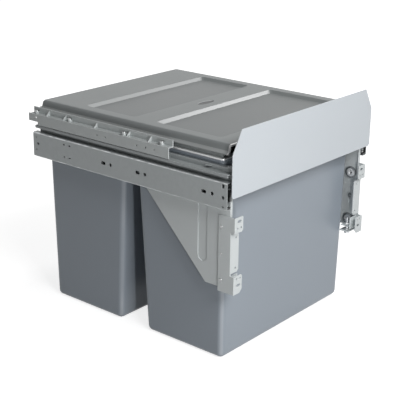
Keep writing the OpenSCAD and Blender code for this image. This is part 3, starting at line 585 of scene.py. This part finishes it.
def spangled_finish(name, colour, metallic, bare, smoothest, roughest, wear, worn_tone, patches=SPOTS):
    """Zinc-coated sheet with its spangle and rolling lines. Metallic is the coat, bare the marked places of
    wear and painted light.
    """
    if name in bpy.data.materials:
        return bpy.data.materials[name]
    material, nodes, links = start_material(name)
    shader = nodes["Principled BSDF"]
    effect = nodes.new("ShaderNodeGroup")
    effect.node_tree = spangle_group()
    crystal, lines = effect.outputs["Crystal"], effect.outputs["Rolling"]
    tone, rubbed = toned(nodes, links, crystal, colour, CRYSTAL_DRIFT, wear, worn_tone, patches)
    links.new(tone, shader.inputs["Base Color"])
    links.new(ranged(nodes, links, rubbed, metallic, bare), shader.inputs["Metallic"])
    links.new(ranged(nodes, links, lines, smoothest, roughest), shader.inputs["Roughness"])
    emboss(nodes, links, lines, ROLLING_BUMP)
    return material


def lid_finish():
    """The lid's moulding, with painted shade in the sunk floors and painted highlights on slopes, lip and cut
    edge.
    """
    name = "satin grey moulding"
    if name in bpy.data.materials:
        return bpy.data.materials[name]
    sunk_shade = (0.1, 0.1, 0.11, 1)
    edge_end, sheet_start = 0.2 * MM, 0.6 * MM
    material = grained_finish(
        name, finishes().lid_grey, rough=0.36, bump=0.06, grain=1400.0, drift=0.06, specular=0.4, wear=0.15)
    nodes, links = material.node_tree.nodes, material.node_tree.links
    shader = nodes["Principled BSDF"]
    plain = shader.inputs["Base Color"].links[0].from_socket
    # Painted shade: the sunk floors are darkened by their mark
    darker = mixed(nodes, links, mark(nodes, "sunk"), plain, sunk_shade, "MULTIPLY")
    # Painted highlight: the front cut edge, the first fraction of a millimetre of the sheet, turns pale
    place = nodes.new("ShaderNodeTexCoord")
    along = nodes.new("ShaderNodeSeparateXYZ")
    links.new(place.outputs["Object"], along.inputs["Vector"])
    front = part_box("lid")[0].y
    edge = ranged(nodes, links, along.outputs["Y"], 1.0, 0.0, front + edge_end, front + sheet_start)
    pale = calculated(nodes, links, "MAXIMUM", edge, mark(nodes, "pale"))
    paler = mixed(nodes, links, pale, darker, (*finishes().cut_grey, 1))
    links.new(paler, shader.inputs["Base Color"])
    return material


def holder_finish():
    return grained_finish(
        "light grey moulding", finishes().holder_grey, rough=0.4, bump=0.12, grain=1400.0, drift=0.07)


def bin_finish():
    # The marked tone on these bins is a painted highlight down the upright corners, in broad patches
    return grained_finish(
        "blue-grey bin plastic", finishes().bin_grey, rough=0.32, bump=0.1, grain=1600.0, drift=0.05,
        specular=0.35, wear=0.45, patches=BROAD)


def black_finish():
    return grained_finish(
        "black moulding", finishes().black, rough=0.4, bump=0.15, grain=1500.0, drift=0.1, wear=0.05)


def powder_coat(name, colour, rough=0.46, drift=0.05):
    return grained_finish(name, colour, rough, bump=0.16, grain=1100.0, drift=drift, specular=0.4)


def panel_paint():
    return powder_coat("pale powder coat", finishes().panel_grey)


def plate_paint():
    return powder_coat("light powder coat", finishes().plate_grey)


def rail_paint():
    return powder_coat("grey powder coat", finishes().rail_grey, rough=0.44, drift=0.07)


def bright_finish():
    return grained_finish(
        "bright zinc plate", finishes().bright_zinc, rough=0.3, bump=0.05, grain=1500.0, drift=0.08,
        metallic=1.0)


def dark_finish():
    return grained_finish(
        "dark zinc plate", finishes().dark_zinc, rough=0.34, bump=0.06, grain=1500.0, drift=0.1,
        metallic=0.7)


def dull_finish():
    return grained_finish(
        "dull zinc plate", finishes().dull_zinc, rough=0.3, bump=0.08, grain=1500.0, drift=0.1,
        metallic=1.0)


def head_finish():
    # The marked tone here is a painted highlight on the clamp screws' heads
    return grained_finish(
        "rubbed zinc plate", finishes().dull_zinc, rough=0.32, bump=0.08, grain=1500.0, drift=0.1,
        metallic=1.0, bare=0.35, wear=1.0, patches=BROAD)


def slide_finish():
    # The marked bends turn pale and bare: partly wear, partly painted highlight lines along the rails
    return spangled_finish(
        "galvanised slide", finishes().slide_zinc, metallic=0.15, bare=1.0, smoothest=0.34, roughest=0.46,
        wear=0.5, worn_tone=finishes().worn_tone)


def sheet_finish():
    # The marked tone here is painted shade: the frame's flanks turn dark and less metallic
    return spangled_finish(
        "bright zinc sheet", finishes().sheet_zinc, metallic=0.6, bare=0.2, smoothest=0.25, roughest=0.4,
        wear=1.0, worn_tone=finishes().dark_zinc, patches=BROAD)


# Pieces

class BINFRAME_OT_lid(Operator):
    """Model the lid as one pressed sheet with a flared lip, two sunk fields and a bare oval"""
    bl_idname = "bin_frame.lid"
    bl_label = "Lid"

    # Height above the foot and inset from the lip, down the lid's side, in mm
    side = ((15.5, 4.6), (12.6, 4.1), (10.9, 3.3), (9.6, 2.1), (8.6, 0.9), (7.8, 0.2), (6.5, 0.0))
    # Inset of the flat top from the lip, in mm
    wall_inset = 5.5
    # Inset of the foot from the lip, its height and how far it is set back from the front
    foot_inset = 3.5 * MM
    foot_rise = 10.7 * MM
    foot_setback = 10 * MM
    # Half width of the fields, and where they start and end behind the lid's front in mm
    field_x = 161 * MM
    field_starts = (35, 225)
    field_ends = (177, 345)
    # Half width and half length of the oval, and of the flat box round it
    oval_half = (21 * MM, 8.5 * MM)
    oval_box = (28 * MM, 14 * MM)
    # First inset of the band, before it is drawn in to the box
    band_inset = 2 * MM
    # The oval's floor against its edge
    oval_shrink = (0.97, 0.94, 1)
    # Painted shade on the sunk floors, and painted highlights on the slopes that face the front and on the
    # lip
    field_shade, oval_shade = 0.25, 0.8
    slope_pale, lip_pale = 0.32, 0.2

    def execute(self, context):
        s = sizes()
        low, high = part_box("lid")
        bm = bmesh.new()
        self.top_sheet(bm, s, low, high)
        self.fields(bm, s, low)
        self.oval(bm, s, low, high)
        self.sides(bm, s, low, high)
        self.foot(bm, low, high)
        bmesh.ops.remove_doubles(bm, verts=bm.verts, dist=MERGE)
        self.tones(bm, s, high)
        piece = piece_from(bm, "lid_sheet", "lid", lid_finish(), ["lid"])
        give_wall(piece, s.lid_wall)
        return {"FINISHED"}

    def top_sheet(self, bm, s, low, high):
        """The flat top with round rear corners, cut along the edges of the fields."""
        inset = self.wall_inset * MM
        rectangle(bm, high.x - inset, low.y, high.y - inset, high.z)
        corners = [v for v in bm.verts if v.co.y > 0]
        bmesh.ops.bevel(bm, geom=corners, offset=s.lid_corner, offset_type="OFFSET", segments=6, profile=0.5,
                        affect="VERTICES", material=-1)
        for x in (-self.field_x, self.field_x):
            self.cut(bm, (x, 0, 0), (1, 0, 0))
        for y in self.field_starts + self.field_ends:
            self.cut(bm, (0, low.y + y * MM, 0), (0, 1, 0))

    def cut(self, bm, place, normal):
        everything = bm.verts[:] + bm.edges[:] + bm.faces[:]
        bmesh.ops.bisect_plane(bm, geom=everything, plane_co=place, plane_no=normal)

    def face_at(self, bm, y):
        """The largest face that lies on the lid's middle line at the given place."""
        inside = [f for f in bm.faces if abs(f.calc_center_median().x) < 0.1 * MM
                  and min(v.co.y for v in f.verts) < y < max(v.co.y for v in f.verts)]
        return max(inside, key=lambda f: f.calc_area())

    def fields(self, bm, s, low):
        """Presses the two fields into the top."""
        for start, end in zip(self.field_starts, self.field_ends):
            middle = low.y + (start + end) / 2 * MM
            half_x, half_y = self.field_x, (end - start) / 2 * MM
            cover = self.face_at(bm, middle)
            floor = verts_in(bmesh.ops.extrude_face_region(bm, geom=[cover])["geom"])
            bmesh.ops.delete(bm, geom=[cover], context="FACES_ONLY")
            bmesh.ops.translate(bm, verts=floor, vec=(0, 0, -s.field_depth))
            uprights = [e for v in floor for e in v.link_edges if e.other_vert(v) not in floor]
            round_edges(bm, uprights, s.field_corner, segments=5)
            floor = self.face_at(bm, middle).verts[:]
            shrink = ((half_x - s.field_slope) / half_x, (half_y - s.field_slope) / half_y, 1)
            bmesh.ops.scale(bm, verts=floor, vec=shrink, space=Matrix.Translation((0, -middle, 0)))
        round_edges(bm, turned_edges(bm, 20), s.field_edge, segments=3)

    def oval(self, bm, s, low, high):
        """Sinks the bare oval into the band, halfway between the two fields."""
        y = low.y + (self.field_ends[0] + self.field_starts[1]) / 2 * MM
        about_oval = Matrix.Translation((0, -y, 0))
        band = self.face_at(bm, y)
        bmesh.ops.inset_region(
            bm, faces=[band], thickness=self.band_inset, use_boundary=True, use_even_offset=True)
        inner = band.verts[:]
        reach_x, reach_y = max(v.co.x for v in inner), max(v.co.y for v in inner) - y
        shrink = (self.oval_box[0] / reach_x, self.oval_box[1] / reach_y, 1)
        bmesh.ops.scale(bm, verts=inner, vec=shrink, space=about_oval)
        box_edges = band.edges[:]
        bmesh.ops.delete(bm, geom=[band], context="FACES_ONLY")
        ring = bmesh.ops.create_circle(
            bm, cap_ends=False, segments=48, radius=1.0,
            matrix=Matrix.Translation((0, y, high.z)) @ Matrix.Diagonal((*self.oval_half, 1, 1)))["verts"]
        ring_edges = list({e for v in ring for e in v.link_edges})
        bmesh.ops.bridge_loops(bm, edges=box_edges + ring_edges)
        lower = verts_in(bmesh.ops.extrude_edge_only(bm, edges=ring_edges)["geom"])
        bmesh.ops.translate(bm, verts=lower, vec=(0, 0, -s.oval_depth))
        bmesh.ops.scale(bm, verts=lower, vec=self.oval_shrink, space=about_oval)
        bmesh.ops.contextual_create(bm, geom=lower)

    def sides(self, bm, s, low, high):
        """Draws the sides down to the flared lip and rounds the shoulder."""
        rim = [e for e in bm.edges if e.is_boundary and not all(v.co.y < low.y + NEAR for v in e.verts)]
        shoulder = rim[:]
        about_front = Matrix.Translation((0, -low.y, 0))
        width, length = high.x - self.wall_inset * MM, high.y - self.wall_inset * MM - low.y
        for rise, inset in self.side:
            made = bmesh.ops.extrude_edge_only(bm, edges=rim)["geom"]
            rim, verts = edges_in(made), verts_in(made)
            wide, long = high.x - inset * MM, high.y - inset * MM - low.y
            bmesh.ops.scale(bm, verts=verts, vec=(wide / width, long / length, 1), space=about_front)
            bmesh.ops.translate(bm, verts=verts, vec=(0, 0, low.z + rise * MM - verts[0].co.z))
            width, length = wide, long
        bmesh.ops.recalc_face_normals(bm, faces=bm.faces)
        if max(bm.faces, key=lambda f: f.calc_area()).normal.z < 0:
            bmesh.ops.reverse_faces(bm, faces=bm.faces)
        round_edges(bm, [e for e in shoulder if e.is_valid], s.lid_shoulder, segments=4)

    def foot(self, bm, low, high):
        """Adds the upright foot under the lid's lip, open in front."""
        front, rear = low.y + self.foot_setback, high.y - self.foot_inset
        sheet = rectangle(bm, high.x - self.foot_inset, front, rear, low.z)
        edges = list({e for v in sheet for e in v.link_edges})
        faces = list({f for v in sheet for f in v.link_faces})
        bmesh.ops.delete(bm, geom=faces, context="FACES_ONLY")
        front_edge = [e for e in edges if all(abs(v.co.y - front) < NEAR for v in e.verts)]
        walls = [e for e in edges if e not in front_edge]
        bmesh.ops.delete(bm, geom=front_edge, context="EDGES")
        made = bmesh.ops.extrude_edge_only(bm, edges=[e for e in walls if e.is_valid])["geom"]
        bmesh.ops.translate(bm, verts=verts_in(made), vec=(0, 0, self.foot_rise))
        panels = [g for g in made if isinstance(g, bmesh.types.BMFace)]
        middle = Vector((0, (high.y + front) / 2, 0))
        for f in panels:
            f.normal_update()
        inward = [f for f in panels if f.normal.dot(f.calc_center_median() - middle) < 0]
        bmesh.ops.reverse_faces(bm, faces=inward)

    def tones(self, bm, s, high):
        """Marks painted shade on the sunk floors and painted highlights on the front slopes and the flared
        lip.
        """
        sunk = bm.faces.layers.float.new("sunk")
        pale = bm.faces.layers.float.new("pale")
        bm.normal_update()
        for f in bm.faces:
            depth = high.z - f.calc_center_median().z
            flat, rising = f.normal.z > 0.999, f.normal.z > 0.3
            if flat and abs(depth - s.field_depth) < NEAR:
                f[sunk] = self.field_shade
            elif flat and abs(depth - s.oval_depth) < NEAR:
                f[sunk] = self.oval_shade
            # Painted highlights on the slopes that face the front and on the flared lip
            elif rising and f.normal.y < -0.3 and depth < s.field_depth:
                f[pale] = self.slope_pale
            elif rising and depth > s.field_depth:
                f[pale] = self.lip_pale


class BINFRAME_OT_bins(Operator):
    """Model each bin as one moulded sheet, from its foot to the skirt of its rim"""
    bl_idname = "bin_frame.bins"
    bl_label = "Bins"

    # How fast the painted highlight fades from the middle of an upright corner
    corner_fade = 1.6
    # Radius of the two bends of the rim
    rim_bend = 1.2 * MM

    def execute(self, context):
        self.one_bin("front_bin", 1)
        self.one_bin("rear_bin", -1)
        return {"FINISHED"}

    def one_bin(self, node, facing):
        """One bin. Facing is the sign of the direction in Y in which the other bin stands."""
        s = sizes()
        low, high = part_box(node)
        middle = (low + high) / 2
        height = high.z - s.bin_wall
        top = Vector((high.x - middle.x - s.rim_over, high.y - middle.y - s.rim_over, 0))
        lean = math.tan(s.bin_draft) * (high.z - s.rim_height)
        gap_lean = math.tan(s.gap_draft) * (high.z - s.rim_height)
        bm = bmesh.new()
        bmesh.ops.create_cube(bm, size=1)
        bmesh.ops.translate(bm, verts=bm.verts, vec=(0, 0, 0.5))
        bmesh.ops.scale(bm, verts=bm.verts, vec=(2 * top.x, 2 * top.y, height))
        foot = [v for v in bm.verts if v.co.z < height / 2]
        bmesh.ops.scale(bm, verts=foot, vec=((top.x - lean) / top.x, 1, 1))
        outer = [v for v in foot if v.co.y * facing < 0]
        bmesh.ops.translate(bm, verts=outer, vec=(0, facing * lean, 0))
        bmesh.ops.translate(bm, verts=[v for v in foot if v not in outer], vec=(0, -facing * gap_lean, 0))
        bmesh.ops.delete(bm, geom=[f for f in bm.faces if f.normal.z > 0.9], context="FACES_ONLY")
        uprights = [e for e in bm.edges if abs(e.verts[0].co.z - e.verts[1].co.z) > height / 2]
        round_edges(bm, uprights, s.bin_corner, s.corner_steps)
        round_edges(bm, turned_edges(bm, 60), s.bin_foot_edge, segments=4)
        self.rim(bm, s, top, height)
        bmesh.ops.translate(bm, verts=bm.verts, vec=(middle.x, middle.y, low.z))
        bmesh.ops.remove_doubles(bm, verts=bm.verts, dist=MERGE)
        self.rub_corners(bm)
        piece = piece_from(bm, node + "_shell", "bin_frame", bin_finish(), [node])
        give_wall(piece, s.bin_wall)

    def rim(self, bm, s, top, height):
        """Turns the upper edge outwards and down into the skirt that hangs in the frame."""
        reach = s.rim_over - s.bin_wall
        edge = [e for e in bm.edges if e.is_boundary]
        made = bmesh.ops.extrude_edge_only(bm, edges=edge)["geom"]
        wider = ((top.x + reach) / top.x, (top.y + reach) / top.y, 1)
        bmesh.ops.scale(bm, verts=verts_in(made), vec=wider)
        edge = [e for e in edges_in(made) if e.is_boundary]
        made = bmesh.ops.extrude_edge_only(bm, edges=edge)["geom"]
        bmesh.ops.translate(bm, verts=verts_in(made), vec=(0, 0, s.bin_wall - s.rim_height))
        bends = [e for e in turned_edges(bm, 60) if min(v.co.z for v in e.verts) > height - 1 * MM]
        round_edges(bm, bends, self.rim_bend, segments=3)

    def rub_corners(self, bm):
        """Marks the upright corners for a painted highlight, strongest along their middle."""
        worn = bm.faces.layers.float.new("worn")
        bm.normal_update()
        for f in bm.faces:
            if abs(f.normal.z) < 0.3:
                f[worn] = max(0.0, 1 - self.corner_fade * abs(abs(f.normal.x) - abs(f.normal.y)))


class BINFRAME_OT_slides(Operator):
    """Dress the slides: galvanised rails, dark cages and balls, black buffers and soft-close units"""
    bl_idname = "bin_frame.slides"
    bl_label = "Slides"

    def execute(self, context):
        for side in SIDES:
            for rail in ("outer_rail", "middle_rail", "inner_rail"):
                # Bends marked pale: partly wear, partly painted highlight lines along the rails' edges
                soften(f"{side}_{rail}", slide_finish(), sizes().sheet_edge, rubbed=on_a_bend)
            for inner in ("outer_cage", "outer_balls", "inner_cage", "inner_balls"):
                paint_node(f"{side}_{inner}", dark_finish())
            paint_node(f"{side}_damper_rod", bright_finish())
            soften(f"{side}_damper_housing", black_finish(), sizes().moulded_edge)
            paint_node(f"{side}_front_buffer", black_finish())
        paint_node("slide_end_caps", black_finish())
        return {"FINISHED"}


class BINFRAME_OT_frame(Operator):
    """Dress the frame: side rails, crossbars, side plates and the front panel"""
    bl_idname = "bin_frame.frame"
    bl_label = "Frame"

    def execute(self, context):
        edge = sizes().sheet_edge
        for side in SIDES:
            soften(f"{side}_side_rail", rail_paint(), edge)
            soften(f"{side}_side_plate", plate_paint(), edge)
        for bar in ("front_crossbar", "middle_crossbar", "rear_crossbar"):
            soften(bar, rail_paint(), edge)
        soften("front_panel", panel_paint(), edge)
        return {"FINISHED"}


class BINFRAME_OT_lid_holder(Operator):
    """Dress the lid's frame and its two ribbed brackets"""
    bl_idname = "bin_frame.lid_holder"
    bl_label = "Lid holder"

    def execute(self, context):
        # Flanks, the faces that don't look up, are marked for painted shade
        soften("lid_frame", sheet_finish(), sizes().sheet_edge, rubbed=on_a_flank)
        for side in SIDES:
            soften(f"{side}_lid_bracket", holder_finish(), sizes().moulded_edge)
        return {"FINISHED"}


class BINFRAME_OT_door_brackets(Operator):
    """Dress the door brackets"""
    bl_idname = "bin_frame.door_brackets"
    bl_label = "Door brackets"

    def execute(self, context):
        for side in SIDES:
            soften(f"{side}_door_bracket", plate_paint(), sizes().sheet_edge)
        return {"FINISHED"}


class BINFRAME_OT_fasteners(Operator):
    """Plate the screws, rivets and nuts, and paint a highlight on the heads of the clamp screws"""
    bl_idname = "bin_frame.fasteners"
    bl_label = "Fasteners"

    # Enough painted highlight to close the gaps between the patches, and how deep into a head it is marked
    full_wear = 4.0
    head_reach = 0.1 * MM

    def execute(self, context):
        for side in SIDES:
            self.clamp_screws(f"{side}_clamp_screws")
            paint_node(f"{side}_height_screw", bright_finish())
        for node in ("frame_rivets", "panel_nuts", "adjuster_nuts"):
            paint_node(node, bright_finish())
        paint_node("lid_bracket_screws", dull_finish())
        return {"FINISHED"}

    def clamp_screws(self, node):
        """Marks the raised middle of each head, the part nearest to the bins, for a painted highlight all
        over.
        """
        bm = merged_copy(node)
        worn = bm.faces.layers.float.new("worn")
        middle = min(abs(v.co.x) for v in bm.verts)
        for f in bm.faces:
            if abs(f.calc_center_median().x) - middle < self.head_reach:
                f[worn] = self.full_wear
        put_in_place(bm, node, head_finish())


# Stage

class BINFRAME_OT_stage(Operator):
    """Set the floor, the soft light and the camera"""
    bl_idname = "bin_frame.stage"
    bl_label = "Stage"

    # The camera's place in metres, the directions behind it and to its right, and its roll in degrees
    camera_place = (-1.3725, -1.14425, 0.8208)
    camera_back = (-0.7246, -0.6045, 0.3315)
    camera_right = (0.6407, -0.768, 0)
    camera_roll = 0.61
    # Distance from the middle at which the floor's glow starts to rise, and the floor's gap below the bins
    glow_start = 0.45
    floor_gap = 0.2 * MM

    def execute(self, context):
        values = stage_values()
        self.floor(context, values)
        self.world(context, values)
        self.lamps(context, values)
        self.camera(context, values)
        context.scene.view_settings.view_transform = "Standard"
        return {"FINISHED"}

    def seen_directly(self, nodes, links):
        """1 for rays from the camera, from a reflection or through something clear."""
        path = nodes.new("ShaderNodeLightPath")
        seen = calculated(
            nodes, links, "MAXIMUM", path.outputs["Is Camera Ray"], path.outputs["Is Glossy Ray"])
        return calculated(nodes, links, "MAXIMUM", seen, path.outputs["Is Transmission Ray"])

    def floor(self, context, values):
        bm = bmesh.new()
        bmesh.ops.create_grid(bm, x_segments=1, y_segments=1, size=values.floor_size / 2)
        mesh = bpy.data.meshes.new("floor")
        bm.to_mesh(mesh)
        bm.free()
        material, nodes, links = start_material("pale floor")
        shader = nodes["Principled BSDF"]
        shader.inputs["Base Color"].default_value = (*values.floor_tone, 1)
        shader.inputs["Roughness"].default_value = 0.9
        shader.inputs["Specular IOR Level"].default_value = 0.0
        glow = nodes.new("ShaderNodeEmission")
        place = nodes.new("ShaderNodeTexCoord")
        away = nodes.new("ShaderNodeVectorMath")
        away.operation = "LENGTH"
        links.new(place.outputs["Object"], away.inputs[0])
        rising = ranged(
            nodes, links, away.outputs["Value"], values.floor_glow, 1.0, self.glow_start, values.glow_reach)
        strength = calculated(nodes, links, "MULTIPLY", self.seen_directly(nodes, links), rising)
        links.new(strength, glow.inputs["Strength"])
        both = nodes.new("ShaderNodeAddShader")
        links.new(shader.outputs["BSDF"], both.inputs[0])
        links.new(glow.outputs["Emission"], both.inputs[1])
        links.new(both.outputs["Shader"], nodes["Material Output"].inputs["Surface"])
        mesh.materials.append(material)
        floor = bpy.data.objects.new("floor", mesh)
        floor.location.z = -self.floor_gap
        context.scene.collection.objects.link(floor)

    def world(self, context, values):
        world = bpy.data.worlds.new("studio")
        context.scene.world = world
        world.use_nodes = True
        nodes, links = world.node_tree.nodes, world.node_tree.links
        light = nodes["Background"]
        light.inputs["Color"].default_value = (1, 1, 1, 1)
        light.inputs["Strength"].default_value = values.ambient
        backdrop = nodes.new("ShaderNodeBackground")
        backdrop.inputs["Color"].default_value = (1, 1, 1, 1)
        backdrop.inputs["Strength"].default_value = 1.0
        mix = nodes.new("ShaderNodeMixShader")
        links.new(self.seen_directly(nodes, links), mix.inputs["Fac"])
        links.new(light.outputs["Background"], mix.inputs[1])
        links.new(backdrop.outputs["Background"], mix.inputs[2])
        links.new(mix.outputs["Shader"], nodes["World Output"].inputs["Surface"])

    def lamps(self, context, values):
        """The soft lights: name, power, and width and height, place and aim in metres."""
        for name, power, size, place, aim in (
            ("key light", values.key_power, (1.5, 1.2), (-0.6, -2.25, 2.1), (0, 0, 0.25)),
            ("strip light", values.strip_power, (0.08, 0.4), (-0.8, -1.16, 0.21), (-0.17, -0.2, 0.2)),
            ("top light", values.top_power, (0.4, 0.4), (1.81, -0.18, 2.09), (0, 0, 0.37)),
            ("rear light", values.rear_power, (0.8, 0.8), (0.5, 2.4, 0.55), (0, 0, 0.2)),
        ):
            light = bpy.data.lights.new(name, "AREA")
            light.shape = "RECTANGLE"
            light.size, light.size_y = size
            light.energy = power
            lamp = bpy.data.objects.new(name, light)
            lamp.location = place
            lamp.rotation_euler = (Vector(aim) - Vector(place)).to_track_quat("-Z", "Y").to_euler()
            context.scene.collection.objects.link(lamp)

    def camera(self, context, values):
        back = Vector(self.camera_back).normalized()
        turn = Matrix.Rotation(math.radians(self.camera_roll), 3, back)
        right = turn @ Vector(self.camera_right).normalized()
        axes = Matrix((right, back.cross(right), back)).transposed().to_4x4()
        data = bpy.data.cameras.new("camera")
        data.sensor_width = 36
        data.lens = values.lens
        data.clip_end = 100
        camera = bpy.data.objects.new("camera", data)
        camera.matrix_world = Matrix.Translation(self.camera_place) @ axes
        context.scene.collection.objects.link(camera)
        context.scene.camera = camera


class BINFRAME_PT_pieces(Panel):
    """Lists the pieces of the bin frame and its stage"""
    bl_idname = "BINFRAME_PT_pieces"
    bl_label = "Bin frame"
    bl_space_type = "VIEW_3D"
    bl_region_type = "UI"
    bl_category = "Bin frame"

    def draw(self, context):
        for maker in MAKERS:
            self.layout.operator(maker.bl_idname)
        for group in (sizes(), finishes(), stage_values()):
            box = self.layout.box()
            for name in group.__annotations__:
                box.prop(group, name)


MAKERS = (
    BINFRAME_OT_lid, BINFRAME_OT_bins, BINFRAME_OT_slides, BINFRAME_OT_frame, BINFRAME_OT_lid_holder,
    BINFRAME_OT_door_brackets, BINFRAME_OT_fasteners, BINFRAME_OT_stage,
)
GROUPS = (BinFrameSizes, BinFrameFinishes, BinFrameStage)


def register():
    for cls in GROUPS + MAKERS + (BINFRAME_PT_pieces,):
        bpy.utils.register_class(cls)
    bpy.types.Scene.bin_frame_sizes = PointerProperty(type=BinFrameSizes)
    bpy.types.Scene.bin_frame_finishes = PointerProperty(type=BinFrameFinishes)
    bpy.types.Scene.bin_frame_stage = PointerProperty(type=BinFrameStage)


def unregister():
    del bpy.types.Scene.bin_frame_stage
    del bpy.types.Scene.bin_frame_finishes
    del bpy.types.Scene.bin_frame_sizes
    for cls in reversed(GROUPS + MAKERS + (BINFRAME_PT_pieces,)):
        bpy.utils.unregister_class(cls)


def main():
    register()
    bpy.ops.bin_frame.lid()
    bpy.ops.bin_frame.bins()
    bpy.ops.bin_frame.slides()
    bpy.ops.bin_frame.frame()
    bpy.ops.bin_frame.lid_holder()
    bpy.ops.bin_frame.door_brackets()
    bpy.ops.bin_frame.fasteners()
    bpy.ops.bin_frame.stage()


if __name__ == "__main__":
    main()
